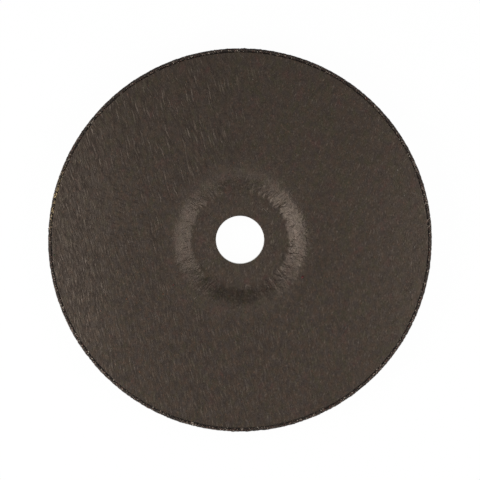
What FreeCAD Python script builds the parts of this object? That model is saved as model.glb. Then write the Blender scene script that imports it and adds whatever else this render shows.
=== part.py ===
import FreeCAD, Part
import math
import os

# A resin-bonded grinding disc with a depressed centre. Millimetres, +Z up along its axis.
# The disc lies with its recess upwards and rests on the flat of the hub on its underside.
# The origin is the centre of that flat.

# The disc as a whole
DISC_DIAMETER = 177.8
DISC_THICKNESS = 6.0
RIM_CHAMFER = 0.5

# The recess in the top face, measured on the cover sheet
RECESS_DEPTH = 4.6
RECESS_FLOOR_DIAMETER = 43.0
RECESS_WALL_ANGLE = 29.0
RECESS_FLOOR_FILLET = 4.5
RECESS_SHOULDER_RADIUS = 12.0

# The hub that the recess raises on the underside
HUB_EDGE_RADIUS = 4.0
HUB_ROOT_RADIUS = 3.0

# The band of bare abrasive between the cover sheet and the rim
SHEET_MARGIN = 1.8
RIM_GROOVE_WIDTH = 0.8
RIM_GROOVE_DEPTH = 0.4

# The cover sheet, and the gathers that it takes on the straight wall of the recess. They lean by up
# to so many degrees about the axis, and the shares say how much of the wall the gathers run along.
SHEET_THICKNESS = 0.25
GATHER_COUNT = 48
GATHER_HEIGHT = 0.22
GATHER_WIDTH = 1.1
GATHER_LEAN = 2.4
LONGEST_GATHER_SHARE = 0.96
SHORTEST_GATHER_SHARE = 0.6

# The steel ring pressed into the spindle hole from the underside, and the lip that covers its end
BORE_DIAMETER = 22.3
RING_WALL = 0.4
RING_BEVEL = 0.5
RING_FLANGE_DIAMETER = 29.0
RING_SETBACK = 0.8
RING_CLEARANCE = 0.02
LIP_CLEARANCE = 0.07

# The golden ratio's fraction, which spreads lengths, places and leans without a repeat
GOLDEN_SHARE = 0.618034


class Section:
    """A closed outline of radius and height, drawn with lines and arcs and then turned on the axis."""

    def __init__(self, radius, height):
        self.start = (radius, height)
        self.here = (radius, height)
        self.edges = []

    def line_to(self, radius, height):
        """Draws a straight line to a point."""
        self.edges.append(Part.makeLine(vector(*self.here), vector(radius, height)))
        self.here = (radius, height)

    def arc_about(self, centre, sweep):
        """Draws an arc about a centre, by a sweep in radians that is positive anticlockwise."""
        across = self.here[0] - centre[0]
        up = self.here[1] - centre[1]
        reach = math.hypot(across, up)
        heading = math.atan2(up, across)
        points = [self.here]
        for angle in (heading + sweep / 2, heading + sweep):
            points.append((centre[0] + reach * math.cos(angle), centre[1] + reach * math.sin(angle)))
        self.edges.append(Part.Arc(*[vector(*point) for point in points]).toShape())
        self.here = points[-1]

    def turned(self):
        """Closes the outline and turns it a full circle into a solid."""
        if math.dist(self.here, self.start) > 1e-6:
            self.line_to(*self.start)
        outline = Part.Wire(self.edges)
        return Part.Face(outline).revolve(vector(0, 0), FreeCAD.Vector(0, 0, 1), 360)


class PressedFace:
    """One pressed face of the disc in section: floor, fillet, sloping wall, shoulder and outer flat."""

    def __init__(self, wall_foot_radius, floor_height, fillet, shoulder):
        self.slope = math.radians(RECESS_WALL_ANGLE)
        self.wall_foot_radius = wall_foot_radius
        self.floor_height = floor_height
        self.flat_height = floor_height + RECESS_DEPTH
        self.fillet = fillet
        self.shoulder = shoulder
        wall_head_radius = wall_foot_radius + RECESS_DEPTH / math.tan(self.slope)
        self.floor_end = wall_foot_radius - fillet * math.tan(self.slope / 2)
        self.flat_start = wall_head_radius + shoulder * math.tan(self.slope / 2)
        self.fillet_centre = (self.floor_end, floor_height + fillet)
        self.shoulder_centre = (self.flat_start, self.flat_height - shoulder)
        self.wall_low = self.on_arc(self.fillet_centre, -fillet)
        self.wall_high = self.on_arc(self.shoulder_centre, shoulder)

    def on_arc(self, centre, reach):
        """Where the straight wall meets the arc about a centre."""
        return (centre[0] - reach * math.sin(self.slope), centre[1] + reach * math.cos(self.slope))

    def lowered(self, depth):
        """The face that runs parallel to this one, a depth further down into the disc."""
        shift = depth * math.tan(self.slope / 2)
        return PressedFace(
            self.wall_foot_radius + shift,
            self.floor_height - depth,
            self.fillet + depth,
            self.shoulder - depth,
        )

    def draw_outwards(self, section, end_radius):
        """Adds the face to a section, from its floor out to a radius on its flat."""
        section.line_to(self.floor_end, self.floor_height)
        section.arc_about(self.fillet_centre, self.slope)
        section.line_to(*self.wall_high)
        section.arc_about(self.shoulder_centre, -self.slope)
        section.line_to(end_radius, self.flat_height)

    def draw_inwards(self, section, end_radius):
        """Adds the face to a section, from its flat in to a radius on its floor."""
        section.line_to(self.flat_start, self.flat_height)
        section.arc_about(self.shoulder_centre, self.slope)
        section.line_to(*self.wall_low)
        section.arc_about(self.fillet_centre, -self.slope)
        section.line_to(end_radius, self.floor_height)

    def on_wall(self, share, depth, turn):
        """The point at a share of the way up the straight wall, at a depth under it, turned on the axis."""
        radius = self.wall_low[0] + share * (self.wall_high[0] - self.wall_low[0])
        height = self.wall_low[1] + share * (self.wall_high[1] - self.wall_low[1])
        return vector(radius + depth * math.sin(self.slope), height - depth * math.cos(self.slope), turn)


def vector(radius, height, turn=0.0):
    """The point at a radius and a height, turned about the axis by an angle in radians."""
    return FreeCAD.Vector(radius * math.cos(turn), radius * math.sin(turn), height)


def top_face():
    """The face of the cover sheet that is seen from above."""
    fillet_share = math.tan(math.radians(RECESS_WALL_ANGLE) / 2)
    wall_foot_radius = RECESS_FLOOR_DIAMETER / 2 + RECESS_FLOOR_FILLET * fillet_share
    return PressedFace(wall_foot_radius, DISC_THICKNESS, RECESS_FLOOR_FILLET, RECESS_SHOULDER_RADIUS)


def underside_face():
    """The underside, parallel to the top face at the disc's thickness, with its own radii."""
    parallel = top_face().lowered(DISC_THICKNESS)
    return PressedFace(parallel.wall_foot_radius, 0.0, HUB_EDGE_RADIUS, HUB_ROOT_RADIUS)


def ring_outer_radius():
    """The outside of the ring's tube."""
    return BORE_DIAMETER / 2 + RING_WALL


def seat_radius():
    """The hole in the abrasive that the ring's tube is pressed into."""
    return ring_outer_radius() + RING_CLEARANCE


def lip_radius():
    """The hole through the sheet and the lip of abrasive over the ring's end, just clear of the spindle."""
    return BORE_DIAMETER / 2 + LIP_CLEARANCE


def ring_end_height():
    """The end of the ring's tube, set back from the floor of the recess."""
    return DISC_THICKNESS - RING_SETBACK


def sheet_edge_radius():
    """The cut edge of the cover sheet."""
    return DISC_DIAMETER / 2 - SHEET_MARGIN


def draw_rim(section, low, high):
    """Adds the rim with its two chamfered edges, from the underside up to the top of the abrasive."""
    rim = DISC_DIAMETER / 2
    section.line_to(rim, low + RIM_CHAMFER)
    section.line_to(rim, high - RIM_CHAMFER)
    section.line_to(rim - RIM_CHAMFER, high)


def draw_rim_groove(section, height):
    """Adds the pointed groove that runs along the edge of the cover sheet."""
    inner = sheet_edge_radius()
    section.line_to(inner + RIM_GROOVE_WIDTH, height)
    section.line_to(inner + RIM_GROOVE_WIDTH / 2, height - RIM_GROOVE_DEPTH)
    section.line_to(inner, height)


def draw_ring_seat(section):
    """Adds the lip over the ring's end, then the hole and the shallow seat that the ring is pressed into."""
    seat_height = RING_WALL + RING_CLEARANCE
    section.line_to(lip_radius(), ring_end_height() + RING_CLEARANCE)
    section.line_to(seat_radius(), ring_end_height() + RING_CLEARANCE)
    section.line_to(seat_radius(), seat_height + RING_BEVEL)
    section.line_to(seat_radius() + RING_BEVEL, seat_height)
    section.line_to(RING_FLANGE_DIAMETER / 2 + RING_CLEARANCE, seat_height)


def abrasive_body():
    """The pressed and baked abrasive, one solid of even thickness that steps up over the hub."""
    underside = underside_face()
    top = top_face().lowered(SHEET_THICKNESS)
    section = Section(RING_FLANGE_DIAMETER / 2 + RING_CLEARANCE, underside.floor_height)
    underside.draw_outwards(section, DISC_DIAMETER / 2 - RIM_CHAMFER)
    draw_rim(section, underside.flat_height, top.flat_height)
    draw_rim_groove(section, top.flat_height)
    top.draw_inwards(section, lip_radius())
    draw_ring_seat(section)
    return section.turned()


def plain_sheet():
    """The cover sheet without its gathers, lying on the abrasive all over."""
    top = top_face()
    below = top.lowered(SHEET_THICKNESS)
    section = Section(lip_radius(), below.floor_height)
    below.draw_outwards(section, sheet_edge_radius())
    section.line_to(sheet_edge_radius(), top.flat_height)
    top.draw_inwards(section, lip_radius())
    return section.turned()


def ridge(low_tip, high_tip, crest, left, right):
    """A slim ridge with pointed ends: two three-sided pyramids that share the section at its crest."""
    faces = []
    for tip, corners in ((low_tip, (crest, left, right)), (high_tip, (crest, right, left))):
        for first, second in zip(corners, corners[1:] + corners[:1]):
            faces.append(Part.Face(Part.makePolygon([tip, first, second, tip])))
    return Part.Solid(Part.Shell(faces))


def gather(start, end, turn, lean):
    """One gather, between two shares of the way up the wall. Its roots lie half way down in the sheet."""
    top = top_face()
    root_depth = SHEET_THICKNESS / 2
    middle = (start + end) / 2
    spread = GATHER_WIDTH / (top.wall_low[0] + top.wall_high[0])
    return ridge(
        top.on_wall(start, root_depth, turn - lean / 2),
        top.on_wall(end, root_depth, turn + lean / 2),
        top.on_wall(middle, -GATHER_HEIGHT, turn),
        top.on_wall(middle, root_depth, turn + spread),
        top.on_wall(middle, root_depth, turn - spread),
    )


def gathers():
    """All the gathers round the wall, uneven in place, length and lean."""
    pitch = 2 * math.pi / GATHER_COUNT
    ridges = []
    for index in range(GATHER_COUNT):
        share = index * GOLDEN_SHARE % 1
        length = LONGEST_GATHER_SHARE - (LONGEST_GATHER_SHARE - SHORTEST_GATHER_SHARE) * share
        start = (1 - length) * (0.5 + 0.5 * math.sin(2 * math.pi * share))
        lean = math.radians(GATHER_LEAN) * (2 * share - 1)
        turn = pitch * (index + share / 3)
        ridges.append(gather(start, start + length, turn, lean))
    return ridges


def cover_sheet():
    """The thin fibre sheet pressed on the top face, with its gathers on the wall of the recess."""
    return plain_sheet().multiFuse(gathers())


def bore_ring():
    """The steel ring: a thin tube in the hole, bent outwards into a flange let into the underside."""
    inner = BORE_DIAMETER / 2
    outer = ring_outer_radius()
    flange = RING_FLANGE_DIAMETER / 2
    mouth_bevel = RING_BEVEL + RING_WALL * (2 - math.sqrt(2))
    section = Section(inner, ring_end_height())
    section.line_to(inner, mouth_bevel)
    section.line_to(inner + mouth_bevel, 0.0)
    section.line_to(flange, 0.0)
    section.line_to(flange, RING_WALL)
    section.line_to(outer + RING_BEVEL, RING_WALL)
    section.line_to(outer, RING_WALL + RING_BEVEL)
    section.line_to(outer, ring_end_height())
    return section.turned()


def write_parts():
    """Builds each piece and writes it to its own file."""
    os.makedirs("parts", exist_ok=True)
    pieces = {
        "abrasive_body": abrasive_body(),
        "cover_sheet": cover_sheet(),
        "bore_ring": bore_ring(),
    }
    for name, shape in pieces.items():
        shape.exportStep("parts/" + name + ".step")
        print(name, "solids", len(shape.Solids), "valid", shape.isValid(), "volume", round(shape.Volume, 1))


write_parts()
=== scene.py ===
import logging
import math
from dataclasses import dataclass
from enum import Enum
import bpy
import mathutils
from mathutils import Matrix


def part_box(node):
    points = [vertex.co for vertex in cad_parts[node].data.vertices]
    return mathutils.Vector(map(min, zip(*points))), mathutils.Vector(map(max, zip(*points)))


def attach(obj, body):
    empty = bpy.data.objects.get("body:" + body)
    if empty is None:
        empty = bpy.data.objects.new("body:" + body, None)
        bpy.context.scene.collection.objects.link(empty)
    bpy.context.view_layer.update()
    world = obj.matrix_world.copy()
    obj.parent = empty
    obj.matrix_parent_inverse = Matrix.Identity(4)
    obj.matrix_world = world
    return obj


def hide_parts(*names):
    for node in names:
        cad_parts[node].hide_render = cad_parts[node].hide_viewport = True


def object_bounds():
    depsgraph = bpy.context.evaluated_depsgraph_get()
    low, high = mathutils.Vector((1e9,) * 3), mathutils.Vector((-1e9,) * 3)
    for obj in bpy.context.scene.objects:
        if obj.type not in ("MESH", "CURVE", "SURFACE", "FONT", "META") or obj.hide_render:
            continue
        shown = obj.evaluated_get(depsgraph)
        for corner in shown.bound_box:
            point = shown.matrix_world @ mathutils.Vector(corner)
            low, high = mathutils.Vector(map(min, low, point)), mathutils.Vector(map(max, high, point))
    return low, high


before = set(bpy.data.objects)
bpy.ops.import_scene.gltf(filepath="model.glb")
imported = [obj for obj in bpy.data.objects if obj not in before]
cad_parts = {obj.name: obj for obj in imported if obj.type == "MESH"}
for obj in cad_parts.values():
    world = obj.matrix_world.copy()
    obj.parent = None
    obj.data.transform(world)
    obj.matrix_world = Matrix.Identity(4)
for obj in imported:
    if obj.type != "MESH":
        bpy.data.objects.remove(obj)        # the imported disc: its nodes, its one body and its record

from types import SimpleNamespace
from typing import Union

import bpy
import numpy as np

CAD_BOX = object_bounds()
BODY = "root"
MM = 0.001
FULL_TURN = 2 * math.pi
GOLDEN_SHARE = 0.618034

logging.basicConfig(level=logging.INFO, format="%(message)s")
log = logging.getLogger("grinding_disc")

Grid = np.ndarray
Piece = bpy.types.Object
Colour = tuple[float, float, float]


def smooth_step(value: Grid, low: float, high: float) -> Grid:
    """Rises smoothly from 0 at low to 1 at high, by 3t^2 - 2t^3; a high below low makes it fall."""
    share = np.clip((value - low) / (high - low), 0, 1)
    return share * share * (3 - 2 * share)


def bump_at(value: Grid, centre: float, width: float) -> Grid:
    """A bell of height 1 round a centre: e to the power of minus the square of the distance in widths."""
    return np.exp(-(((value - centre) / width) ** 2))


def sector(turn: Grid, centre: float, width: float) -> Grid:
    """A bell of height 1 round a direction; the angles are in radians, centre and width in degrees."""
    return bump_at((np.degrees(turn) - centre + 180) % 360 - 180, 0.0, width)


def angles(count: int) -> Grid:
    """Even steps round the axis, in radians."""
    return np.arange(count) / count * FULL_TURN


def spot_at(radius: Union[Grid, float], turn: Grid) -> tuple[Grid, Grid]:
    """Places across and up, from a radius and an angle."""
    return radius * np.cos(turn), radius * np.sin(turn)


@dataclass(frozen=True)
class PlaneWaves:
    """Noise with a size and a grain, made by adding plane waves of random heading and phase.

    The value at a point is the sum of cos(k . p + phase) over all waves, scaled to a spread of 1.
    Each wave number is near 2 pi / wavelength. With a direction, the waves that run along it are
    longer by the stretch, so the noise forms streaks in that direction.
    """

    seed: int
    wavelength: float
    spread: float = 0.35
    direction: Union[float, None] = None
    stretch: float = 1.0
    count: int = 56

    def at(self, across: Grid, up: Grid, out: Union[Grid, float] = 0.0) -> Grid:
        """Evaluates the noise.

        Args:
            across, up, out: The three coordinates of the points, in millimetres.

        Returns:
            The noise at each point, with a mean of 0 and a spread of about 1.
        """
        random = np.random.default_rng(self.seed)
        heading = random.normal(size=(self.count, 3))
        if self.direction is not None:
            heading[:, 2] = 0
        heading /= np.linalg.norm(heading, axis=1, keepdims=True)
        number = FULL_TURN / self.wavelength * np.exp(random.normal(0, self.spread, self.count))
        waves = heading * number[:, None]
        if self.direction is not None:
            turn = math.radians(self.direction)
            along = np.array([math.cos(turn), math.sin(turn), 0])
            waves -= np.outer(waves @ along, along) * (1 - 1 / self.stretch)
        phase = random.uniform(0, FULL_TURN, self.count)
        total = np.zeros(np.broadcast(across, up).shape)
        for (wave_x, wave_y, wave_z), shift in zip(waves, phase):
            total += np.cos(wave_x * across + wave_y * up + wave_z * out + shift)
        return total * math.sqrt(2 / self.count)


def crests(noise: Grid, width: float) -> Grid:
    """Thin ridges of height 1 where a noise crosses zero."""
    return bump_at(noise, 0.0, width)


@dataclass(frozen=True)
class PressedFace:
    """One pressed face of the disc in section: floor, fillet, sloping wall, shoulder and outer flat.

    Attributes:
        foot: Radius at which the straight wall would meet the floor.
        floor: Height of the floor.
        depth: Height of the outer flat over the floor.
        fillet: Radius of the arc between floor and wall.
        shoulder: Radius of the arc between wall and outer flat.
        slope: Angle of the wall, in radians.
    """

    foot: float
    floor: float
    depth: float
    fillet: float
    shoulder: float
    slope: float

    @property
    def floor_end(self) -> float:
        """Radius at which the floor runs into the fillet."""
        return self.foot - self.fillet * math.tan(self.slope / 2)

    @property
    def flat_start(self) -> float:
        """Radius at which the shoulder runs out into the flat."""
        return self.foot + self.depth / math.tan(self.slope) + self.shoulder * math.tan(self.slope / 2)

    @property
    def wall_span(self) -> tuple[float, float]:
        """Radii at which the straight wall starts and ends."""
        reach = math.sin(self.slope)
        return self.floor_end + self.fillet * reach, self.flat_start - self.shoulder * reach

    def lowered(self, drop: float) -> "PressedFace":
        """The parallel face, a drop further down into the disc."""
        foot = self.foot + drop * math.tan(self.slope / 2)
        return PressedFace(
            foot, self.floor - drop, self.depth, self.fillet + drop, self.shoulder - drop, self.slope
        )

    def height(self, radius: Grid) -> Grid:
        """Height at a radius: the arcs as circles, the wall as a line, the floor and the flat level."""
        low, high = self.wall_span
        top = self.floor + self.depth
        across = np.clip(radius - self.floor_end, 0, low - self.floor_end)
        rise = self.fillet - np.sqrt(self.fillet**2 - across**2)
        back = np.clip(self.flat_start - radius, 0, self.flat_start - high)
        fall = self.shoulder - np.sqrt(self.shoulder**2 - back**2)
        wall = self.floor + self.fillet * (1 - math.cos(self.slope)) + (radius - low) * math.tan(self.slope)
        return np.where(radius < low, self.floor + rise, np.where(radius < high, wall, top - fall))

    def tilt(self, radius: Grid) -> Grid:
        """Angle of the face at a radius, from 0 on the flats to the slope on the wall."""
        sines = (radius - self.floor_end) / self.fillet, (self.flat_start - radius) / self.shoulder
        return np.minimum(*(np.arcsin(np.clip(sine, 0, math.sin(self.slope))) for sine in sines))


@dataclass(frozen=True)
class DiscSizes:
    """The sizes of the disc in millimetres, partly read from the frame's boxes."""

    rim: float
    rim_low: float
    rim_high: float
    sheet_edge: float
    flat: float
    ring_flange: float
    ring_end: float
    thickness: float = 6.0
    sheet_thickness: float = 0.25
    fillet: float = 4.5
    shoulder: float = 12.0
    recess_floor: float = 21.5
    slope_degrees: float = 29.0
    hub_edge: float = 4.0
    hub_root: float = 3.0
    bore: float = 11.15
    lip: float = 11.22
    chamfer: float = 0.5
    groove_width: float = 0.8
    groove_depth: float = 0.4
    ring_wall: float = 0.4
    clearance: float = 0.02

    @classmethod
    def from_frame(cls) -> "DiscSizes":
        """Reads what the frame's boxes give; the rest are the disc's own named sizes."""
        boxes = (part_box("abrasive_body"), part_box("cover_sheet"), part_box("bore_ring"))
        body, sheet, ring = (np.array(high) / MM for _, high in boxes)
        return cls(
            rim=body[0],
            rim_low=sheet[2] - cls.thickness,
            rim_high=body[2],
            sheet_edge=sheet[0],
            flat=sheet[2],
            ring_flange=ring[0],
            ring_end=ring[2],
        )

    @property
    def top(self) -> PressedFace:
        """The visible face of the cover sheet."""
        slope = math.radians(self.slope_degrees)
        foot = self.recess_floor + self.fillet * math.tan(slope / 2)
        depth = self.flat - self.thickness
        return PressedFace(foot, self.thickness, depth, self.fillet, self.shoulder, slope)

    @property
    def under_sheet(self) -> PressedFace:
        """The face of the abrasive that the sheet lies on."""
        return self.top.lowered(self.sheet_thickness)

    @property
    def underside(self) -> PressedFace:
        """The bare underside with its raised hub."""
        parallel = self.top.lowered(self.thickness)
        return PressedFace(parallel.foot, 0.0, parallel.depth, self.hub_edge, self.hub_root, parallel.slope)


def spaced(*stretches: tuple[float, float, int]) -> Grid:
    """Radii or heights at even steps along stretches given as (start, end, steps), ends left out."""
    parts = [np.linspace(start, end, steps, endpoint=False) for start, end, steps in stretches]
    return np.concatenate(parts)


def swept(section: Grid, turn: Grid) -> tuple[Grid, Grid, Grid]:
    """Radius, height and angle of a section carried round the axis, rows by columns."""
    radius, height = (np.repeat(part[:, None], len(turn), axis=1) for part in section.T)
    return radius, height, np.repeat(turn[None, :], len(section), axis=0)


def lathe(name: str, radius: Grid, height: Grid, turn: Grid) -> Piece:
    """Makes a closed ring of quads from a closed section carried round the axis.

    Point (i, j) is (radius cos turn, radius sin turn, height) of row i along the section and column j
    round the axis. Rows and columns both join up at their ends, so nothing is open. The section runs
    outwards underneath, up the rim, inwards on top and down the bore, which turns faces outwards.

    Args:
        name: Name of the piece.
        radius: Radii in millimetres, rows by columns.
        height: Heights in millimetres, rows by columns.
        turn: Angle of each column in radians.

    Returns:
        The new object, smooth shaded.
    """
    rows, columns = radius.shape
    points = np.stack([*spot_at(radius, turn), height], axis=-1) * MM
    row, column = np.meshgrid(np.arange(rows), np.arange(columns), indexing="ij")
    next_row, next_column = (row + 1) % rows, (column + 1) % columns
    corners = [row * columns + column, row * columns + next_column]
    corners += [next_row * columns + next_column, next_row * columns + column]
    quads = np.stack(corners, axis=-1).reshape(-1, 4)
    return new_piece(name, points.reshape(-1, 3), quads)


def new_piece(name: str, points: Grid, faces: Grid, smooth: bool = True) -> Piece:
    """Puts points in metres and faces into a mesh object at the origin."""
    mesh = bpy.data.meshes.new(name)
    mesh.from_pydata(points.tolist(), [], faces.tolist())
    mesh.polygons.foreach_set("use_smooth", np.full(len(mesh.polygons), smooth))
    mesh.update()
    piece = bpy.data.objects.new(name, mesh)
    bpy.context.scene.collection.objects.link(piece)
    return piece


def paint(piece: Piece, name: str, values: Grid, kind: str = "FLOAT", entry: str = "value") -> None:
    """Stores a number per point on a piece, or another kind of entry, for its finish to read."""
    layer = piece.data.attributes.new(name, kind, "POINT")
    layer.data.foreach_set(entry, np.ascontiguousarray(values, dtype=np.float32).ravel())


class Value:
    """An output socket of a shader node. Arithmetic on it adds Math nodes."""

    def __init__(self, tree: "Tree", socket: bpy.types.NodeSocket) -> None:
        """Keeps the socket and the tree that it belongs to."""
        self.tree = tree
        self.socket = socket

    def math(self, operation: str, first: "Number", second: "Number") -> "Value":
        """Adds one Math node."""
        return self.tree.add("ShaderNodeMath", {"operation": operation}, {0: first, 1: second})

    def __add__(self, other: "Number") -> "Value":
        """This plus other."""
        return self.math("ADD", self, other)

    def __radd__(self, other: "Number") -> "Value":
        """Other plus this."""
        return self.math("ADD", other, self)

    def __sub__(self, other: "Number") -> "Value":
        """This minus other."""
        return self.math("SUBTRACT", self, other)

    def __rsub__(self, other: "Number") -> "Value":
        """Other minus this."""
        return self.math("SUBTRACT", other, self)

    def __mul__(self, other: "Number") -> "Value":
        """This times other."""
        return self.math("MULTIPLY", self, other)

    def __rmul__(self, other: "Number") -> "Value":
        """Other times this."""
        return self.math("MULTIPLY", other, self)

    def sibling(self, name: str) -> "Value":
        """Another output of the node that this comes from."""
        return Value(self.tree, self.socket.node.outputs[name])

    def between(self, low: float, high: float) -> "Value":
        """Rises smoothly from 0 where this is low to 1 where it is high."""
        inputs = {"Value": self, "From Min": low, "From Max": high}
        return self.tree.add("ShaderNodeMapRange", {"interpolation_type": "SMOOTHSTEP"}, inputs)


Number = Union[Value, float]
Vector = Union[Value, Colour]


class Tree:
    """The node tree of one material or world, with its surface shader."""

    def __init__(self, name: str, world: bool = False) -> None:
        """Starts an empty material or world with an output node."""
        self.owner = (bpy.data.worlds if world else bpy.data.materials).new(name)
        self.owner.use_nodes = True
        self.nodes, self.links = self.owner.node_tree.nodes, self.owner.node_tree.links
        self.nodes.clear()
        self.output = self.nodes.new("ShaderNodeOutputWorld" if world else "ShaderNodeOutputMaterial")

    def add(self, kind: str, settings: dict, inputs: dict, output: Union[int, str] = 0) -> Value:
        """Adds any node.

        Args:
            kind: The node's type.
            settings: Its own properties, set first.
            inputs: A value, a colour or a link for each input named or numbered.
            output: Which output to return.

        Returns:
            The chosen output.
        """
        node = self.nodes.new(kind)
        for key, setting in settings.items():
            setattr(node, key, setting)
        for key, given in inputs.items():
            if isinstance(given, Value):
                self.links.new(given.socket, node.inputs[key])
            elif isinstance(given, tuple) and len(node.inputs[key].default_value) == 4:
                node.inputs[key].default_value = (*given, 1.0)
            else:
                node.inputs[key].default_value = given
        return Value(self, node.outputs[output])

    def place(self) -> Value:
        """Object coordinates in millimetres."""
        spot = self.add("ShaderNodeTexCoord", {}, {}, "Object")
        return self.vector("SCALE", spot, Scale=1 / MM)

    def vector(self, operation: str, first: Value, second: Vector = (0.0, 0.0, 0.0), **more) -> Value:
        """Adds one Vector Math node."""
        return self.add("ShaderNodeVectorMath", {"operation": operation}, {0: first, 1: second, **more})

    def wobbled(self, spot: Value, size: float, reach: float) -> Value:
        """Coordinates pushed about by soft noise of a size, by up to about half a reach."""
        push = self.noise(spot, size).sibling("Color")
        push = self.vector("SUBTRACT", push, (0.5, 0.5, 0.5))
        return self.vector("ADD", spot, self.vector("SCALE", push, Scale=reach))

    def along(self, spot: Value, direction: float, width: float, length: float) -> Value:
        """Coordinates in cells of a width and a length, whose long side lies in a direction in degrees."""
        rotation = (0.0, 0.0, math.radians(90.0 - direction))
        turned = self.add("ShaderNodeMapping", {}, {"Vector": spot, "Rotation": rotation})
        return self.vector("DIVIDE", turned, (width, length, width))

    def noise(self, spot: Value, size: float, detail: float = 2.0, roughness: float = 0.5) -> Value:
        """Soft noise of a given size in millimetres, from 0 to 1."""
        inputs = {"Vector": spot, "Scale": 1 / size, "Detail": detail, "Roughness": roughness}
        return self.add("ShaderNodeTexNoise", {}, inputs)

    def grains(self, spot: Value, size: float) -> Value:
        """Distance to the nearest of many scattered points, for grains of a size in millimetres."""
        return self.add("ShaderNodeTexVoronoi", {}, {"Vector": spot, "Scale": 1 / size})

    def strokes(self, spot: Value, core: float, empty: float, flat: bool = True) -> tuple[Value, Value]:
        """Spots scattered one to a cell, drawn out as the cells are.

        Args:
            spot: Coordinates in cells.
            core: Reach of a spot in cells.
            empty: Between 0.3 and 0.7; the higher it is, the more cells stay empty.
            flat: Whether only the first two coordinates count.

        Returns:
            A height of 1 in the middle of each spot that falls to 0 at its reach, and a hem round it, which
            the sheet darkens as painted shade beside its creases.
        """
        settings = {"voronoi_dimensions": "2D" if flat else "3D"}
        near = self.add("ShaderNodeTexVoronoi", settings, {"Vector": spot, "Scale": 1.0})
        chosen = (near.sibling("Color") * 1.0).between(empty - 0.06, empty + 0.10)
        shade_hem = near.between(core * 2.2, core * 1.4) * near.between(core * 0.8, core * 1.2)
        return near.between(core, 0.0) * chosen, shade_hem * chosen

    def painted(self, name: str, output: str = "Fac") -> Value:
        """What is stored on the piece's points under a name."""
        return self.add("ShaderNodeAttribute", {"attribute_name": name}, {}, output)

    def blend(self, first: Vector, second: Vector, share: Number) -> Value:
        """A colour that goes from the first to the second as the share goes from 0 to 1."""
        settings = {"data_type": "RGBA", "clamp_factor": True}
        return self.add("ShaderNodeMix", settings, {0: share, 6: first, 7: second}, 2)

    def relief(self, height: Value) -> Value:
        """A normal from a height in millimetres."""
        return self.add("ShaderNodeBump", {}, {"Height": height, "Distance": MM, "Strength": 1.0})

    def surface(self, **inputs: Union[Number, Colour]) -> bpy.types.Material:
        """Ends the tree with a Principled shader; underscores in the names stand for spaces."""
        named = {key.replace("_", " "): given for key, given in inputs.items()}
        return self.end(self.add("ShaderNodeBsdfPrincipled", {}, named))

    def end(self, shader: Value) -> bpy.types.ID:
        """Ends the tree with any shader, and gives the material or world."""
        self.links.new(shader.socket, self.output.inputs["Surface"])
        return self.owner


@dataclass(frozen=True)
class Strokes:
    """One kind of crease: its direction in degrees, the width and length of its cells and its spots.

    Attributes:
        core: Reach of a spot in cells.
        empty: Between 0.3 and 0.7; the higher it is, the more cells stay empty.
    """

    direction: float
    width: float
    length: float
    core: float
    empty: float

    def on(self, tree: Tree, spot: Value) -> tuple[Value, Value]:
        """The height of the creases and the hem round them, which is painted shade."""
        return tree.strokes(tree.along(spot, self.direction, self.width, self.length), self.core, self.empty)


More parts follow.
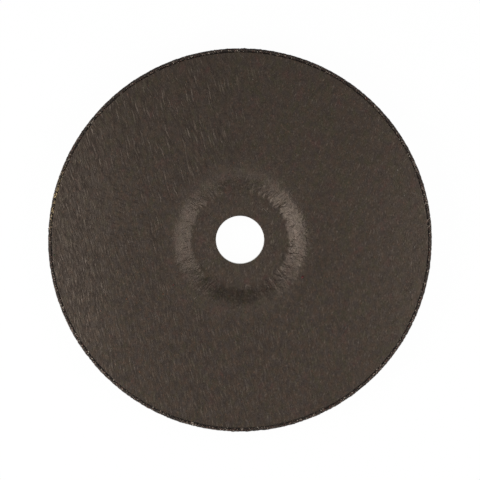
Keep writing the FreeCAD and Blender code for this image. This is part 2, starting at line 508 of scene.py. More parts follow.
@dataclass(frozen=True)
class SheetFinish:
    """Resin-soaked dark brown fibre paper: mottled, creased and flecked, with a dull warm sheen."""

    base: Colour = (0.0146, 0.0103, 0.0073)
    olive: Colour = (0.0120, 0.0122, 0.0048)
    warm: Colour = (0.0212, 0.0126, 0.0074)
    grey: Colour = (0.0100, 0.0081, 0.0078)
    rosy: Colour = (0.0240, 0.0090, 0.0082)
    # the pale colour serves worn crests and painted light, the near-black one cracks and painted shade
    worn: Colour = (0.0900, 0.0740, 0.0590)
    crack: Colour = (0.0020, 0.0010, 0.0008)
    orange_fleck: Colour = (0.0900, 0.0380, 0.0190)
    roughness: float = 0.545
    sheen: float = 0.71
    polish: float = 0.110
    sheen_tint: Colour = (1.0, 0.787, 0.645)
    thin: Strokes = Strokes(106.0, 1.6, 20.0, 0.25, 0.36)
    other: Strokes = Strokes(111.0, 1.6, 12.0, 0.23, 0.38)
    short: Strokes = Strokes(100.0, 1.15, 9.0, 0.34, 0.30)
    loose: Strokes = Strokes(84.0, 1.3, 4.2, 0.28, 0.48)
    curl: Strokes = Strokes(58.0, 1.3, 3.0, 0.27, 0.50)
    sparse: Strokes = Strokes(72.0, 1.3, 4.6, 0.29, 0.68)
    level: Strokes = Strokes(170.0, 1.5, 7.5, 0.34, 0.26)
    orange: Strokes = Strokes(100.0, 3.0, 4.6, 0.12, 0.50)

    def material(self) -> bpy.types.Material:
        """Ties the colour and the relief to the same creases, grain and folds."""
        tree = Tree("fibre_sheet")
        spot = tree.place()
        zone = SimpleNamespace(**{name: tree.painted(name) for name in (*CoverSheet.ZONES, "wall", "floor")})
        shaken = tree.wobbled(spot, 8.0, 3.0)
        thin, thin_shade_hem = self.thin.on(tree, shaken)
        other, other_shade_hem = self.other.on(tree, shaken)
        short, short_shade_hem = self.short.on(tree, shaken)
        loose, loose_shade_hem = self.loose.on(tree, shaken)
        curl, curl_shade_hem = self.curl.on(tree, shaken)
        share = zone.creased + zone.wavy * 0.46
        short_share = zone.wrinkled * 0.6 + zone.wavy * 0.44 + zone.creased * 0.12
        loose_share = 0.27 + zone.fringe * 0.45 + zone.wrinkled * 0.45 + zone.floor * 0.20
        loose_share = loose_share - zone.granular * 0.06
        curl_share = 0.27 + zone.floor * 0.24 - zone.granular * 0.06
        sparse = self.sparse.on(tree, shaken)[0] * (zone.granular + zone.floor * 0.7)
        level = self.level.on(tree, shaken)[0] * zone.leathery
        crest = (thin + other * 0.6) * share + short * short_share + loose * loose_share + curl * curl_share
        # the hems round the creases are painted shade beside each crease
        shade_hem = (thin_shade_hem + other_shade_hem) * share + short_shade_hem * short_share
        shade_hem = shade_hem + loose_shade_hem * loose_share + curl_shade_hem * curl_share
        swirled = tree.wobbled(tree.painted("swirl", "Vector"), 3.0, 2.4)
        hairs = tree.noise(tree.vector("DIVIDE", swirled, (1.0, 1.0, 2.3)), 1.0, 3.0, 0.65)
        wall_shade_marks, _ = tree.strokes(tree.vector("DIVIDE", swirled, (1.0, 1.0, 3.6)), 0.48, 0.42, flat=False)
        streaks, _ = tree.strokes(tree.vector("DIVIDE", swirled, (1.1, 1.1, 2.6)), 0.45, 0.45, flat=False)
        crumple = tree.noise(tree.wobbled(spot, 2.0, 1.4), 1.15, 2.0, 0.6)
        grain = tree.noise(tree.along(spot, 97.0, 0.62, 0.92), 1.0, 0.6, 0.5)
        pores = tree.noise(tree.along(tree.wobbled(spot, 2.0, 1.0), 98.0, 1.8, 2.9), 1.0, 3.0, 0.6)
        blotch = tree.noise(tree.along(spot, 75.0, 6.0, 10.0), 1.0, 2.0)
        colour = self.mottled(tree, spot, 0.75 + (zone.wavy + zone.leathery) * 0.6)
        # crease crests and the sparse short strokes on the right are lightened partly as wear and partly as
        # painted highlight
        light = crest * ((zone.wrinkled + zone.fringe) * -0.17 + 0.50) + streaks * zone.wall * 0.7
        light = light + grain.between(0.56, 0.80) * 0.30 + sparse * 0.44
        # the dark grain specks are the paper's own tone; the hems, the marks on the wall and the near-level
        # wrinkles left of the hub are painted shade in and beside folds
        dark = shade_hem * 0.6 + grain.between(0.46, 0.22) * 0.64 + wall_shade_marks * zone.wall * 0.9 + level * 0.75
        colour = tree.blend(colour, self.worn, light + tree.painted("worn"))
        colour = tree.blend(colour, self.crack, dark + tree.painted("crack"))
        colour = tree.blend(colour, self.orange_fleck, self.orange.on(tree, spot)[0] * 0.5)
        height = crest * 0.056 - shade_hem * 0.012 - level * 0.06 + sparse * 0.03 + grain * 0.064
        height = height + pores * (0.10 + zone.leathery * 0.05)
        height = height + (hairs * 0.20 + crumple * 0.26 - wall_shade_marks * 0.08 + streaks * 0.05) * zone.wall
        roughness = self.roughness - tree.painted("rubbed") * self.polish
        roughness = roughness + (pores - 0.5) * 0.24 + (blotch - 0.5) * 0.09
        sheen = {"Specular_IOR_Level": self.sheen, "Specular_Tint": self.sheen_tint}
        return tree.surface(Base_Color=colour, Roughness=roughness, Normal=tree.relief(height), **sheen)

    def mottled(self, tree: Tree, spot: Value, strength: Value) -> Value:
        """Brown that drifts to olive and rose in patches, and to grey and to rust in fine fibres."""
        patch = tree.noise(tree.along(spot, 80.0, 4.5, 6.0), 1.0, 2.0)
        tint = tree.noise(tree.along(spot, 97.0, 2.2, 3.2), 1.0, 1.0, 0.5)
        colour = tree.blend(self.base, self.olive, patch.between(0.45, 0.66))
        colour = tree.blend(colour, self.rosy, patch.between(0.42, 0.28))
        colour = tree.blend(colour, self.grey, tint.between(0.50, 0.36) * strength)
        return tree.blend(colour, self.warm, tint.between(0.50, 0.68) * strength)


@dataclass(frozen=True)
class AbrasiveFinish:
    """Dark abrasive grain bound in resin: rough, with paler grains, near-black pits and painted shade in the
    rim's groove.
    """

    resin: Colour = (0.0300, 0.0235, 0.0190)
    grain: Colour = (0.0850, 0.0680, 0.0560)
    pit: Colour = (0.0075, 0.0052, 0.0042)
    roughness: float = 0.78
    sheen: float = 0.18

    def material(self) -> bpy.types.Material:
        """Scatters grains and pits over the resin and gives them a rough relief."""
        tree = Tree("abrasive")
        spot = tree.place()
        cells = tree.grains(spot, 0.9)
        fine = tree.noise(spot, 0.45, 3.0, 0.65)
        colour = tree.blend(self.resin, self.grain, cells.between(0.45, 0.15) * fine.between(0.35, 0.65))
        colour = tree.blend(colour, self.pit, tree.painted("pit"))
        normal = tree.relief(fine * 0.11 + (1.0 - cells) * 0.07)
        sheen = {"Specular_IOR_Level": self.sheen}
        return tree.surface(Base_Color=colour, Roughness=self.roughness, Normal=normal, **sheen)


@dataclass(frozen=True)
class GrainFinish:
    """Single grains and fibre ends at the rim, whose tone is stored on their points."""

    dark: Colour = (0.0100, 0.0070, 0.0055)
    rust: Colour = (0.0850, 0.0390, 0.0285)
    pale: Colour = (0.3300, 0.2850, 0.2300)
    gold: Colour = (0.6200, 0.4700, 0.2500)

    def material(self) -> bpy.types.Material:
        """Runs from dark over rusty to pale grains, and on to golden glass fibre with a painted glint; the
        dark end also stands for beads painted as shaded.
        """
        tree = Tree("rim_grains")
        tone = tree.painted("tone")
        colour = tree.blend(self.dark, self.rust, tone.between(0.0, 0.6))
        colour = tree.blend(colour, self.pale, tone.between(0.6, 1.0))
        colour = tree.blend(colour, self.gold, tree.painted("gold"))
        roughness = 0.5 + tree.noise(tree.place(), 0.3) * 0.3
        return tree.surface(Base_Color=colour, Roughness=roughness, Specular_IOR_Level=0.3)


@dataclass(frozen=True)
class SteelFinish:
    """Thin zinc-coated pressed steel, dull and faintly brushed round the bore."""

    bright: Colour = (0.50, 0.49, 0.46)
    dull: Colour = (0.28, 0.27, 0.25)

    def material(self) -> bpy.types.Material:
        """Mixes bright and dull patches, with a fine relief."""
        tree = Tree("ring_steel")
        patch = tree.noise(tree.place(), 1.8, 4.0)
        colour = tree.blend(self.bright, self.dull, patch.between(0.35, 0.7))
        fine = tree.noise(tree.vector("DIVIDE", tree.place(), (1.0, 1.0, 0.2)), 0.5, 2.0)
        normal = tree.relief(fine * 0.01)
        roughness = 0.32 + patch * 0.25
        return tree.surface(Base_Color=colour, Roughness=roughness, Normal=normal, Metallic=1.0)


@dataclass(frozen=True)
class Gathers:
    """The gathers of the cover sheet on the straight wall, as slim ridges with pointed ends."""

    count: int = 48
    height: float = 0.22
    width: float = 1.1
    lean_degrees: float = 2.4
    longest: float = 0.96
    shortest: float = 0.6
    root: float = 0.125

    def relief(self, face: PressedFace, radius: Grid, turn: Grid) -> Grid:
        """Height of the ridges over the sheet.

        A ridge falls in a straight line from its crest to its two tips and to its two sides, so its
        height is (root + height) x (1 - |along| / half length - |across| / half width) - root, where
        that is positive.

        Args:
            face: The face that the ridges stand on.
            radius, turn: Polar coordinates of the points.

        Returns:
            The height at each point, in millimetres.
        """
        low, high = face.wall_span
        share_up = (radius - low) / (high - low)
        pitch = FULL_TURN / self.count
        total = np.zeros(radius.shape)
        for index in range(self.count):
            share = index * GOLDEN_SHARE % 1
            length = self.longest - (self.longest - self.shortest) * share
            start = (1 - length) * (0.5 + 0.5 * math.sin(FULL_TURN * share))
            along = (share_up - start - length / 2) / (length / 2)
            lean = math.radians(self.lean_degrees) * (2 * share - 1)
            middle = pitch * (index + share / 3) + lean / 2 * along
            gap = (turn - middle + math.pi) % FULL_TURN - math.pi
            across = abs(gap) * (low + high) / self.width
            ridge = (self.root + self.height) * (1 - abs(along) - across) - self.root
            total = np.maximum(total, ridge)
        return total


@dataclass
class CoverSheet:
    """The creased fibre sheet on the top face."""

    sizes: DiscSizes
    gathers: Gathers = Gathers()
    columns: int = 720
    edge_round: float = 0.14
    wall_radius: float = 26.0
    shoulder_radius: float = 30.0
    ZONES = ("creased", "wrinkled", "leathery", "wavy", "fringe", "granular")

    def __post_init__(self) -> None:
        """Lays out the section: a few rows underneath, the cut edge, the top face and the hole's edge."""
        sizes, edge_round = self.sizes, self.edge_round
        self.face = sizes.top
        self.turn = angles(self.columns)
        lip, outer = sizes.lip, sizes.sheet_edge
        under = spaced((lip, 20.0, 1), (20.0, 34.0, 5), (34.0, outer, 1))
        top = spaced((outer - 2 * edge_round, 33.0, 82), (33.0, 21.0, 28), (21.0, lip + 2 * edge_round, 12))
        edge_share = np.array([0.0, 0.35, 1.0])
        cut = self.rounding(outer, sizes.flat, -edge_round, edge_share[::-1])
        hole = self.rounding(lip, sizes.thickness, edge_round, edge_share)
        spare = 0.25 * ((under > lip + 1) & (under < outer - 3))
        rows = list(zip(under, sizes.under_sheet.height(under) - spare))
        rows += [(outer, sizes.flat - sizes.sheet_thickness), *cut]
        self.top_start = len(rows)
        rows += list(zip(top, self.face.height(top)))
        self.top_end = len(rows)
        self.section = np.array(rows + hole)

    @staticmethod
    def rounding(radius: float, top: float, reach: float, shares: Grid) -> list[tuple[float, float]]:
        """Points of a rounded edge: share 0 is on the top a reach from the edge, share 1 on the edge."""
        inwards = radius + reach * (1 - np.sin(shares * math.pi / 2))
        down = top - abs(reach) * (1 - np.cos(shares * math.pi / 2))
        return list(zip(inwards, down))

    def zones(self, x: Grid, y: Grid) -> dict[str, Grid]:
        """How strongly each kind of creasing shows at a place, from 0 to 1.

        Args:
            x, y: Place on the disc as shares of the rim's radius.

        Returns:
            Shares named creased, wrinkled, leathery, wavy, granular and fringe.
        """
        left = smooth_step(x, 0.35, -0.35)
        upper = smooth_step(y, -0.35, 0.25)
        far = smooth_step(x, -0.55, -0.85)
        hub_side = bump_at(x, -0.62, 0.28) * bump_at(y, 0.16, 0.24)
        beside = np.exp(-np.abs((y + 0.1) / 0.7) ** 3)
        outside = smooth_step(np.hypot(x, y), 0.33, 0.45)
        return {
            "creased": left * upper * outside * (1 - 0.7 * hub_side),
            "wrinkled": far * beside,
            "leathery": hub_side,
            "wavy": (1 - upper) * outside * smooth_step(x, 1.2, -0.2),
            "granular": smooth_step(x, -0.25, 0.3),
            "fringe": smooth_step(x, 0.5, 0.95) * beside,
        }

    def creases(self, x: Grid, y: Grid, zones: dict[str, Grid]) -> Grid:
        """Height of all creases away from the wall, from 0 up to about 1."""
        long_thin = crests(PlaneWaves(11, 11.0, 0.3, 106.0, 2.8).at(x, y), 0.38)
        broken = smooth_step(PlaneWaves(12, 9.0, 0.4, 100.0, 1.3).at(x, y), -0.2, 1.1)
        steep = crests(PlaneWaves(13, 6.0, 0.3, 101.0, 2.2).at(x, y), 0.45)
        cells = crests(PlaneWaves(14, 5.0, 0.3).at(x, y), 0.45)
        wavy = crests(PlaneWaves(15, 8.0, 0.35, 96.0, 2.4).at(x, y), 0.42)
        dots = crests(PlaneWaves(16, 4.0, 0.4, 75.0, 1.6).at(x, y), 0.5)
        total = zones["creased"] * long_thin * broken
        total = total + zones["wrinkled"] * steep * (0.4 + 0.2 * broken)
        total = total + zones["leathery"] * cells * 0.6
        total = total + zones["wavy"] * wavy * broken
        return total + (0.3 + 0.7 * zones["granular"]) * dots * 0.30

    def radial_folds(self, radius: Grid, turn: Grid) -> Grid:
        """Fine hair-like folds that run up the wall: noise stretched along the radius."""
        x, y = spot_at(self.wall_radius, turn)
        fine = PlaneWaves(21, 2.4, 0.4).at(x, y, radius / 1.8)
        broad = PlaneWaves(22, 5.0, 0.4).at(x, y, radius / 2.6)
        broken = smooth_step(PlaneWaves(23, 7.0, 0.4).at(x, y, radius / 1.5), -0.8, 0.8)
        return (crests(fine, 0.6) * 0.45 + crests(broad, 0.4) * 0.25) * (0.3 + 0.7 * broken)

    def build(self) -> Piece:
        """Makes the sheet and stores where it is creased, where it is lightened by wear and painted light,
        and where it is darkened by painted shade.
        """
        radius, height, turn = swept(self.section, self.turn)
        x, y = spot_at(radius, turn)
        zones = self.zones(x / self.sizes.rim, y / self.sizes.rim)
        low, high = self.face.wall_span
        foot = self.face.floor_end
        start = low + 0.7 * PlaneWaves(26, 2.8, 0.4).at(*spot_at(self.wall_radius, turn))
        wall = smooth_step(radius, start - 1.4, start + 1.0) * smooth_step(radius, high + 8.0, high + 1.0)
        flat_creases = self.creases(x, y, zones) * (1 - wall)
        folds = self.radial_folds(radius, turn) * wall
        sideways = np.cos(turn) ** 2
        relief = 0.026 * flat_creases + (0.055 + 0.065 * sideways) * folds + self.uneven_wall(radius, turn)
        swells = PlaneWaves(31, 9.0, 0.4).at(x, y) + PlaneWaves(33, 4.6, 0.3).at(x, y)
        rougher = 0.5 * smooth_step(x, -10.0, 40.0) * smooth_step(y, 40.0, -20.0)
        relief = relief + 0.03 * swells * (1 + rougher - 0.35 * smooth_step(x, 30.0, -30.0))
        relief = relief + self.gathers.relief(self.face, radius, turn)
        inside = smooth_step(radius, self.sizes.lip + 0.1, self.sizes.lip + 1.2)
        outside = smooth_step(radius, self.sizes.sheet_edge, self.sizes.sheet_edge - 0.9)
        row = np.arange(len(self.section))[:, None]
        shown = ((row >= self.top_start) & (row < self.top_end)) * 1.0
        tilt = self.face.tilt(radius)
        lift = relief * inside * outside * shown
        ragged = 0.07 * PlaneWaves(32, 2.0, 0.5).at(x, y) + 0.12 + 0.12 * np.sin(turn)
        ragged = ragged * smooth_step(radius, self.sizes.sheet_edge - 1.5, self.sizes.sheet_edge)
        radius_out, height_out = radius - lift * np.sin(tilt) + ragged, height + lift * np.cos(tilt)
        piece = lathe("fibre_cover_sheet", radius_out, height_out, turn)
        # crests and folds are lightened partly as wear and partly as painted highlight; the far left and far
        # right are lightened as painted light
        worn = flat_creases * 0.05 + folds * 0.10 + 0.19 * zones["wrinkled"] + 0.105 * zones["fringe"]
        low_side = np.clip(-np.sin(turn), 0, 1) ** 3
        # painted light: the recess floor is lightened, and so is the wall, more on its lower side
        worn = worn + 0.04 * smooth_step(radius, foot, foot - 2.0) + (0.05 + 0.05 * low_side) * wall
        upright = abs(np.sin(turn)) ** 3 * np.where(turn < math.pi, 1.0, 0.4)
        # painted light on the shoulder at the top and, less strongly, at the bottom
        worn = worn + 0.10 * upright * bump_at(radius, 33.5, 3.5)
        paint(piece, "worn", np.clip(worn, 0, 1) * shown)
        for name in self.ZONES:
            paint(piece, name, zones[name] * (1 - wall) * shown)
        paint(piece, "floor", smooth_step(radius, foot + 1.5, foot - 1.5) * shown)
        right = sector(turn, 9.0, 35.0)
        paint(piece, "wall", wall * (0.46 - 0.12 * low_side + 0.32 * sideways + 0.47 * right) * shown)
        rubbed = bump_at(radius, 25.9, 2.5) * (0.25 + 0.80 * right) + bump_at(radius, 31.3, 1.6) * 0.6 * right
        dull = 0.7 * sector(turn, -33.0, 14.0) + 0.4 * sector(turn, 63.0, 16.0)
        dull = dull + 0.3 * sector(turn, 120.0, 18.0)
        paint(piece, "rubbed", (rubbed - dull * bump_at(radius, 27.6, 3.6)) * shown)
        crack = self.wrinkle_shade(x, y, zones) * (1 - wall) + self.wall_fold_shade(radius, turn)
        # painted shade on the flat just outside the right shoulder
        crack = crack + 0.16 * sector(turn, -8.0, 28.0) * bump_at(radius, 38.5, 5.0)
        paint(piece, "crack", np.clip(crack, 0, 1) * shown)
        swirl = np.stack([*spot_at((low + high) / 2, turn), radius], axis=-1)
        paint(piece, "swirl", swirl, "FLOAT_VECTOR", "vector")
        piece.data.materials.append(SheetFinish().material())
        return piece

    def uneven_wall(self, radius: Grid, turn: Grid) -> Grid:
        """How much the wall stands in or out from its true section, in soft swells round the recess.

        The sheet also sags a little into the fillet, which softens the foot of the wall, and the whole
        wall wanders in and out a little.
        """
        foot = self.face.floor_end
        x, y = spot_at(self.face.foot, turn)
        swell = PlaneWaves(24, 7.0, 0.5).at(x, y, radius / 3.0)
        sag = smooth_step(radius, foot + 0.4, foot + 2.9) * smooth_step(radius, foot + 7.0, foot + 2.9)
        wander = 0.10 * PlaneWaves(25, 6.0, 0.5).at(x, y)
        ragged = PlaneWaves(27, 3.2, 0.4).at(x, y) * smooth_step(radius, foot + 4.0, foot + 1.6)
        wander = wander + (0.04 + 0.09 * np.cos(turn) ** 2) * ragged
        moved = self.face.height(radius + wander) - self.face.height(radius)
        swell = swell * (0.025 + 0.025 * np.cos(turn) ** 2) * np.sin(self.face.tilt(radius))
        return swell / math.sin(self.face.slope) - 0.15 * sag + moved

    def wall_fold_shade(self, radius: Grid, turn: Grid) -> Grid:
        """Painted shade in folds that run up and over the shoulder, deepest on the right, and in a broken
        band along the foot of the wall.
        """
        foot = self.face.floor_end
        x, y = spot_at(self.shoulder_radius, turn)
        right = 0.3 + 1.5 * sector(turn, -27.0, 22.0)
        lines = crests(PlaneWaves(43, 4.2, 0.3).at(x, y, radius / 2.6), 0.14)
        broken = smooth_step(PlaneWaves(44, 6.0, 0.4).at(x, y, radius / 1.6), 0.0, 1.0)
        # painted shade along the foot of the wall
        foot_shade = smooth_step(PlaneWaves(45, 2.6, 0.5).at(x, y, radius / 2.0), -0.6, 1.2)
        foot_shade = foot_shade * (0.22 + 0.20 * np.cos(turn) ** 2)
        return lines * broken * right * bump_at(radius, 29.0, 3.2) + foot_shade * bump_at(radius, foot + 1.4, 1.5)

    def wrinkle_shade(self, x: Grid, y: Grid, zones: dict[str, Grid]) -> Grid:
        """Faint painted shade in near-level, broken wrinkles among the leather grain left of the hub."""
        lines = crests(PlaneWaves(41, 9.0, 0.3, 8.0, 3.5).at(x, y), 0.12)
        broken = smooth_step(PlaneWaves(42, 7.0, 0.4).at(x, y), 0.2, 1.0)
        return zones["leathery"] * lines * broken * 0.8


@dataclass
class AbrasiveBody:
    """The abrasive under the sheet: the gritty rim, the bare underside and the lip of the bore."""

    sizes: DiscSizes
    columns: int = 760

    def __post_init__(self) -> None:
        """Lays out the closed section of the body."""
        sizes = self.sizes
        self.turn = angles(self.columns)
        flange, ring_top = sizes.ring_flange + sizes.clearance, sizes.ring_end + sizes.clearance
        chamfer, rim, inner = sizes.chamfer, sizes.rim, sizes.sheet_edge
        under = spaced((flange, 21.5, 8), (21.5, 34.0, 18), (34.0, rim - chamfer, 56))
        groove_outer = inner + sizes.groove_width
        groove_middle = inner + sizes.groove_width / 2
        self.rows = list(zip(under, sizes.underside.height(under)))
        self.under_count = len(self.rows)
        low, high = sizes.rim_low, sizes.rim_high
        self.rows += [(rim - chamfer, low), (rim - chamfer / 2, low + chamfer / 2)]
        self.rows += [(rim, level) for level in np.linspace(low + chamfer, high - chamfer, 9)]
        self.rows += [(rim - chamfer * share, high - chamfer * (1 - share)) for share in (0.25, 0.5, 0.75)]
        self.rows += [(radius, high) for radius in np.linspace(rim - chamfer, groove_outer, 4)]
        self.rows += [(groove_middle + 0.2, high - 0.2), (groove_middle, high - sizes.groove_depth)]
        self.rows += [(groove_middle - 0.2, high - 0.2), (inner, high)]
        self.rim_end = len(self.rows)
        hidden = spaced((inner - 2.0, 34.0, 3), (34.0, 21.0, 8), (21.0, sizes.lip, 1))
        self.rows += list(zip(hidden, sizes.under_sheet.height(hidden) - 0.35))
        wall = sizes.ring_wall + sizes.clearance
        seat = sizes.bore + wall
        self.rows += [(sizes.lip, sizes.thickness - sizes.sheet_thickness), (sizes.lip, ring_top)]
        self.rows += [(seat, ring_top), (seat, wall + 0.5), (seat + 0.5, wall), (flange, wall)]

    def build(self) -> Piece:
        """Makes the body, rough at the rim and printed with the glass mesh underneath."""
        radius, height, turn = swept(np.array(self.rows), self.turn)
        x, y = spot_at(radius, turn)
        row = np.arange(len(self.rows))[:, None]
        at_rim = ((row >= self.under_count) & (row < self.rim_end)) * 1.0
        underneath = (row < self.under_count) * 1.0
        grit = PlaneWaves(51, 1.5, 0.45, count=72).at(x, y, height)
        coarse = PlaneWaves(52, 3.4, 0.4).at(x, y, height)
        out = at_rim * (0.08 * grit + 0.03 * coarse + 0.08)
        print_depth = underneath * (self.mesh_print(x, y) * 0.14 + 0.03 * np.clip(grit, 0, None))
        print_depth = print_depth * smooth_step(radius, self.sizes.ring_flange, self.sizes.ring_flange + 1.0)
        piece = lathe("abrasive_disc", radius + out, height + print_depth, self.turn)
        # resin fills the groove in places; the groove is also painted lighter at the left and right, as
        # painted light where the side lamps reach into it
        filled_and_side_lit = smooth_step(PlaneWaves(53, 2.4, 0.4).at(x, y) + 0.7 * np.cos(turn) ** 6, 0.2, 0.9)
        # the groove is painted dark: partly dark resin, partly painted shade in the groove
        groove = bump_at(radius, self.sizes.sheet_edge + 0.45, 0.38) * (height > self.sizes.rim_high - 0.5)
        groove = groove * (1 - 0.75 * filled_and_side_lit)
        paint(piece, "pit", np.clip(at_rim * (0.9 * groove + smooth_step(-grit, 0.2, 1.4) * 0.6), 0, 1))
        piece.data.materials.append(AbrasiveFinish().material())
        return piece

    @staticmethod
    def mesh_print(x: Grid, y: Grid, pitch: float = 4.6) -> Grid:
        """Print of the glass mesh: hollows between yarns that cross at a pitch, from 0 to 1."""
        along, across = (abs((place / pitch) % 1 - 0.5) * 2 for place in (x, y))
        return smooth_step(np.minimum(along, across), 0.18, 0.42)


@dataclass
class RimGrains:
    """Abrasive grains in the bare band and on the rim, beads across the groove, and golden fibre ends on the
    left with a painted glint.
    """

    sizes: DiscSizes
    seed: int = 61
    fine_count: int = 2000
    bead_count: int = 3600
    fine_sizes: tuple[float, float] = (0.10, 0.27)
    bead_sizes: tuple[float, float] = (0.23, 0.42)
    bead_tones: tuple[float, float] = (0.5, 0.96)
    bead_sink: float = 0.10
    side_share: float = 0.3
    TIPS = [[1, 0, 0], [-1, 0, 0], [0, 1, 0], [0, -1, 0], [0, 0, 1], [0, 0, -1]]
    TRIANGLES = [[0, 2, 4], [2, 1, 4], [1, 3, 4], [3, 0, 4], [2, 0, 5], [1, 2, 5], [3, 1, 5], [0, 3, 5]]

    def __post_init__(self) -> None:
        """Starts the seeded draws."""
        self.random = np.random.default_rng(self.seed)

    def build(self) -> Piece:
        """Scatters irregular eight-sided grains: fine ones all over, and larger beads in loose rows."""
        random = self.random
        sizes = self.sizes
        count = self.fine_count + self.bead_count
        index = np.arange(count)
        bead = index >= self.fine_count
        order = np.clip((index - self.fine_count) / self.bead_count, 0, 1)
        turn = FULL_TURN * ((index * GOLDEN_SHARE + random.uniform(0, 2e-4, count)) % 1)
        gap = PlaneWaves(62, 2.4, 0.4).at(*spot_at(sizes.rim, turn)) < -0.3
        on_side = (random.random(count) < self.side_share) & ~bead
        band_start = np.where(order > 0.3, 0.75, 0.2)
        across = random.uniform(band_start, sizes.rim - sizes.sheet_edge - 0.1)
        radius = np.where(on_side, sizes.rim - 0.02, sizes.sheet_edge + across)
        side_height = random.uniform(sizes.rim_low + 0.5, sizes.rim_high - 0.5, count)
        groove = np.clip(1 - abs(across - sizes.groove_width / 2) / (sizes.groove_width / 2), 0, 1)
        chamfer = np.clip(radius - sizes.rim + sizes.chamfer, 0, None)
        top_height = sizes.rim_high - chamfer - np.where(bead, self.bead_sink, sizes.groove_depth * groove)
        height = np.where(on_side, side_height, top_height)
        centre = np.stack([*spot_at(radius, turn), height], axis=-1)
        bead_size = random.uniform(*self.bead_sizes, count)
        size = np.where(bead, bead_size, random.uniform(*self.fine_sizes, count))
        size = size * np.where(bead & gap, 0.5, 1.0)
        points, faces = self.pebbles(centre, size)
        piece = new_piece("rim_grains", points * MM, faces, smooth=False)
        # golden grains on the left of the rim: partly glass fibre ends, partly a painted glint from the left
        # lamp
        golden_glint = sector(turn, 168.0, 7.0) * (random.random(count) < 0.8) * random.uniform(0.3, 1.0, count)
        # beads counted as lit get pale tones and the rest are painted near-black as shaded copies, with fewer
        # lit towards the upper left: painted light and shade
        lit = order * 10 % 1 < 0.70 - 0.22 * sector(turn, 120.0, 70.0)
        bead_tone = np.where(lit, random.uniform(*self.bead_tones, count), 0.0)
        tone = np.where(bead, bead_tone, random.random(count) ** 1.7)
        paint(piece, "tone", np.repeat(tone, len(self.TIPS)))
        paint(piece, "gold", np.repeat(golden_glint, len(self.TIPS)))
        piece.data.materials.append(GrainFinish().material())
        return piece

    def pebbles(self, centre: Grid, size: Grid) -> tuple[Grid, Grid]:
        """Irregular octahedra: six points pushed out along the axes by uneven amounts, then turned."""
        count, corners = len(centre), len(self.TIPS)
        reach = self.random.uniform(0.6, 1.3, (count, corners, 1)) * size[:, None, None]
        spin = self.random.uniform(0, FULL_TURN, count)
        x, y, z = np.moveaxis(np.repeat(np.array(self.TIPS, float)[None], count, axis=0) * reach, -1, 0)
        cos, sin = np.cos(spin)[:, None], np.sin(spin)[:, None]
        turned = np.stack([x * cos - y * sin, x * sin + y * cos, z], -1)
        faces = (np.arange(count)[:, None, None] * corners + np.array(self.TRIANGLES)[None]).reshape(-1, 3)
        return (centre[:, None, :] + turned).reshape(-1, 3), faces


class FleckTone(Enum):
    """Colours of the stray flecks in the sheet."""

    RED = (0.1200, 0.0150, 0.0130)
    ORANGE = (0.1500, 0.0600, 0.0300)
    PALE = (0.1500, 0.1250, 0.1000)
    GREEN = (0.0250, 0.0420, 0.0080)


@dataclass(frozen=True)
class Fleck:
    """One stray fleck or fibre: its place, length and width in millimetres and its direction in degrees."""

    x: float
    y: float
    length: float
    width: float
    direction: float
    tone: FleckTone


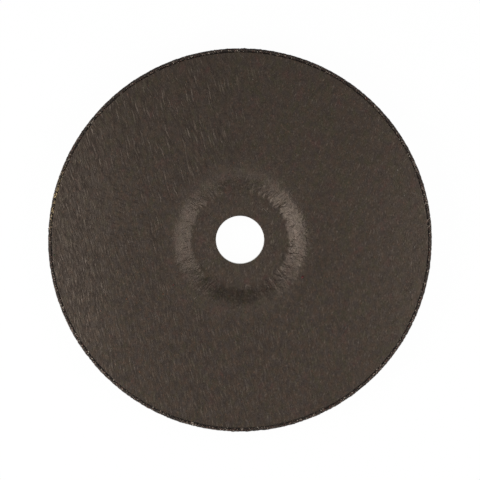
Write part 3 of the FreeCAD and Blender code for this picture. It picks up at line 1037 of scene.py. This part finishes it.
@dataclass
class Flecks:
    """The few flecks and fibres that stand out on the sheet."""

    sizes: DiscSizes
    corners: int = 12
    edge_lift: float = 0.06
    middle_lift: float = 0.20
    dim_share: float = 0.45

    def __post_init__(self) -> None:
        """Lists the flecks as they lie."""
        self.face = self.sizes.top
        placed = {
            FleckTone.RED: [(29.0, -17.0, 1.5, 0.9, 60.0), (-30.9, -20.7, 0.8, 0.5, 20.0)],
            FleckTone.ORANGE: [
                (-35.7, -24.9, 0.8, 0.6, 100.0), (-52.7, -27.2, 0.9, 0.5, 30.0),
                (-64.7, -32.8, 0.8, 0.5, 80.0), (-46.6, -61.1, 0.9, 0.5, 120.0),
            ],
            FleckTone.PALE: [
                (-18.8, -23.0, 0.9, 0.5, 50.0), (6.0, 74.9, 0.9, 0.5, 70.0), (73.1, 32.7, 1.0, 0.5, 85.0),
                (76.3, 21.1, 1.3, 0.4, 80.0), (81.0, -3.1, 1.3, 0.4, 95.0), (79.1, -23.9, 1.1, 0.5, 80.0),
                (-33.2, -7.7, 1.0, 0.5, 10.0), (1.4, 85.3, 1.6, 0.25, 135.0), (12.3, 13.4, 3.6, 0.22, 135.0),
                (-20.5, -26.5, 3.0, 0.22, 45.0),
            ],
            FleckTone.GREEN: [(-86.1, -6.8, 1.0, 0.7, 90.0)],
        }
        self.flecks = [Fleck(*place, tone) for tone, places in placed.items() for place in places]

    def build(self) -> Piece:
        """Lays each fleck on the sheet as a thin lens of twelve corners round a raised middle.

        Corner k is at (length/2 cos a, width/2 sin a) with a = 30 k degrees, turned to the fleck's direction.
        """
        corners = self.corners
        angle = angles(corners)
        halves = [(f.x, f.y, f.length / 2, f.width / 2, math.radians(f.direction)) for f in self.flecks]
        x, y, length, width, turn = (column[:, None] for column in np.array(halves).T)
        along, across = length * np.cos(angle), width * np.sin(angle)
        edge_x = x + along * np.cos(turn) - across * np.sin(turn)
        edge_y = y + along * np.sin(turn) + across * np.cos(turn)
        edge_height = self.face.height(np.hypot(edge_x, edge_y)) + self.edge_lift
        middle_height = self.face.height(np.hypot(x, y))
        rings = [np.stack([edge_x, edge_y, edge_height], axis=-1)]
        rings += [np.stack([x, y, middle_height + lift], axis=-1) for lift in (self.middle_lift, 0.0)]
        points = np.concatenate(rings, axis=1)
        index = np.arange(corners)
        after = (index + 1) % corners
        top = np.stack([index, after, np.full(corners, corners)], axis=-1)
        bottom = np.stack([after, index, np.full(corners, corners + 1)], axis=-1)
        start = np.arange(len(self.flecks))[:, None, None] * (corners + 2)
        faces = (start + np.concatenate([top, bottom])[None]).reshape(-1, 3)
        piece = new_piece("sheet_flecks", points.reshape(-1, 3) * MM, faces)
        tones = list(FleckTone)
        for tone in tones:
            piece.data.materials.append(self.finish(tone))
        slots = np.repeat([tones.index(fleck.tone) for fleck in self.flecks], 2 * corners)
        piece.data.polygons.foreach_set("material_index", slots)
        return piece

    def finish(self, tone: FleckTone) -> bpy.types.Material:
        """A fibrous fleck of one colour, darker in places."""
        tree = Tree("fleck_" + tone.name.lower())
        dim = tuple(part * self.dim_share for part in tone.value)
        patch = tree.noise(tree.place(), 0.5)
        colour = tree.blend(tone.value, dim, patch.between(0.4, 0.65))
        return tree.surface(Base_Color=colour, Roughness=0.5 + patch * 0.2)


@dataclass(frozen=True)
class BoreRing:
    """The pressed steel ring in the spindle hole."""

    sizes: DiscSizes
    bend: float = 0.6
    edge: float = 0.03
    mouth_edge: float = 0.05
    columns: int = 240

    def build(self) -> Piece:
        """Turns the ring's section: flange underneath, a rounded bend and a thin tube."""
        sizes, wall = self.sizes, self.sizes.ring_wall
        inner, flange, end = sizes.bore, sizes.ring_flange, sizes.ring_end
        outer = inner + wall
        bend_out = self.bend + wall
        angle = np.linspace(0, math.pi / 2, 7)
        centre = (inner + bend_out, bend_out)
        mouth = [(centre[0] - bend_out * math.cos(a), centre[1] - bend_out * math.sin(a)) for a in angle]
        inside = [(centre[0] - self.bend * math.sin(a), centre[1] - self.bend * math.cos(a)) for a in angle]
        section = mouth + [(flange - self.edge, 0.0), (flange, self.edge), (flange, wall)] + inside
        section += [(outer, end - self.edge), (outer - self.edge, end)]
        section += [(inner + self.mouth_edge, end), (inner, end - self.mouth_edge)]
        piece = lathe("steel_bore_ring", *swept(np.array(section), angles(self.columns)))
        piece.data.materials.append(SteelFinish().material())
        return piece


class LampSide(Enum):
    """The two soft lamps."""

    LEFT = -1
    RIGHT = 1


@dataclass(frozen=True)
class Studio:
    """White floor, two low soft lamps, a plain world and the camera over the disc."""

    lamp_distance: float = 0.378
    lamp_height: float = 0.285
    left_shift: float = -0.135
    right_shift: float = -0.10
    left_watts: float = 3.20
    right_watts: float = 2.26
    lamp_length: float = 0.56
    lamp_width: float = 0.24
    camera_distance: float = 3.0
    camera_tilt_degrees: float = 3.0
    half_view: float = 0.11136
    aim: float = 0.00021
    shadow_share: float = 0.02
    floor_width: float = 6.0
    floor_shade: float = 0.8
    surround_light: float = 0.14
    sensor: float = 36.0

    def build(self) -> None:
        """Makes the whole studio."""
        self.floor()
        self.world()
        for side in LampSide:
            self.lamp(side)
        self.camera()

    def floor(self) -> None:
        """A pale floor that looks white to the camera and keeps a trace of the disc's shadow."""
        half = self.floor_width / 2
        corners = np.array([[-half, -half, 0], [half, -half, 0], [half, half, 0], [-half, half, 0]])
        floor = new_piece("floor", corners, np.array([[0, 1, 2, 3]]), smooth=False)
        tree = Tree("white_floor")
        camera = tree.add("ShaderNodeLightPath", {}, {}, "Is Camera Ray")
        glossy, through = camera.sibling("Is Glossy Ray"), camera.sibling("Is Transmission Ray")
        glow = tree.add("ShaderNodeEmission", {}, {"Color": (1.0, 1.0, 1.0), "Strength": 1.0})
        matt = tree.add("ShaderNodeBsdfDiffuse", {}, {"Color": (self.floor_shade,) * 3})
        share = (camera + glossy + through) * (1 - self.shadow_share)
        mixed = tree.add("ShaderNodeMixShader", {}, {0: share, 1: matt, 2: glow})
        floor.data.materials.append(tree.end(mixed))

    def world(self) -> None:
        """An even pale surrounding: white where it is seen, dimmer where it lights the disc."""
        tree = Tree("surroundings", world=True)
        seen = tree.add("ShaderNodeLightPath", {}, {}, "Is Camera Ray")
        inputs = {"Value": seen, "To Min": self.surround_light, "To Max": 1.0}
        strength = tree.add("ShaderNodeMapRange", {}, inputs)
        bpy.context.scene.world = tree.end(tree.add("ShaderNodeBackground", {}, {"Strength": strength}))

    def lamp(self, side: LampSide) -> None:
        """A long soft lamp low beside the disc, aimed at its middle."""
        light = bpy.data.lights.new("lamp_" + side.name.lower(), "AREA")
        light.shape = "RECTANGLE"
        light.size = self.lamp_width
        light.size_y = self.lamp_length
        on_left = side is LampSide.LEFT
        light.energy = self.left_watts if on_left else self.right_watts
        lamp = bpy.data.objects.new(light.name, light)
        bpy.context.scene.collection.objects.link(lamp)
        shift = self.left_shift if on_left else self.right_shift
        lamp.location = (side.value * self.lamp_distance, shift, self.lamp_height)
        tip = math.atan2(self.lamp_distance, self.lamp_height)
        lamp.rotation_euler = (0.0, side.value * tip, 0.0)

    def camera(self) -> None:
        """A long lens looking down the axis, tipped a little towards the far side."""
        lens = bpy.data.cameras.new("camera")
        lens.sensor_width = self.sensor
        lens.lens = lens.sensor_width / 2 * self.camera_distance / self.half_view
        camera = bpy.data.objects.new("camera", lens)
        bpy.context.scene.collection.objects.link(camera)
        tilt = math.radians(self.camera_tilt_degrees)
        top = CAD_BOX[1][2]
        back = self.aim + self.camera_distance * math.sin(tilt)
        camera.location = (0.0, back, top + self.camera_distance * math.cos(tilt))
        camera.rotation_euler = (-tilt, 0.0, 0.0)
        bpy.context.scene.camera = camera


def settle(piece: Piece, slot: str, *nodes: str) -> None:
    """Fixes a piece to the disc, hides the nodes it stands for, and reports it."""
    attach(piece, BODY)
    if nodes:
        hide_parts(*nodes)
    log.info("%s: %d faces", piece.name, len(piece.data.polygons))


def main() -> None:
    """Builds the disc and the studio, in order."""
    sizes = DiscSizes.from_frame()
    settle(AbrasiveBody(sizes).build(), "abrasive", "abrasive_body")
    settle(CoverSheet(sizes).build(), "fibre_sheet", "cover_sheet")
    settle(RimGrains(sizes).build(), "abrasive")
    settle(Flecks(sizes).build(), "fibre_sheet")
    settle(BoreRing(sizes).build(), "ring_steel", "bore_ring")
    Studio().build()
    bpy.context.scene.view_settings.view_transform = "Standard"


if __name__ == "__main__":
    main()
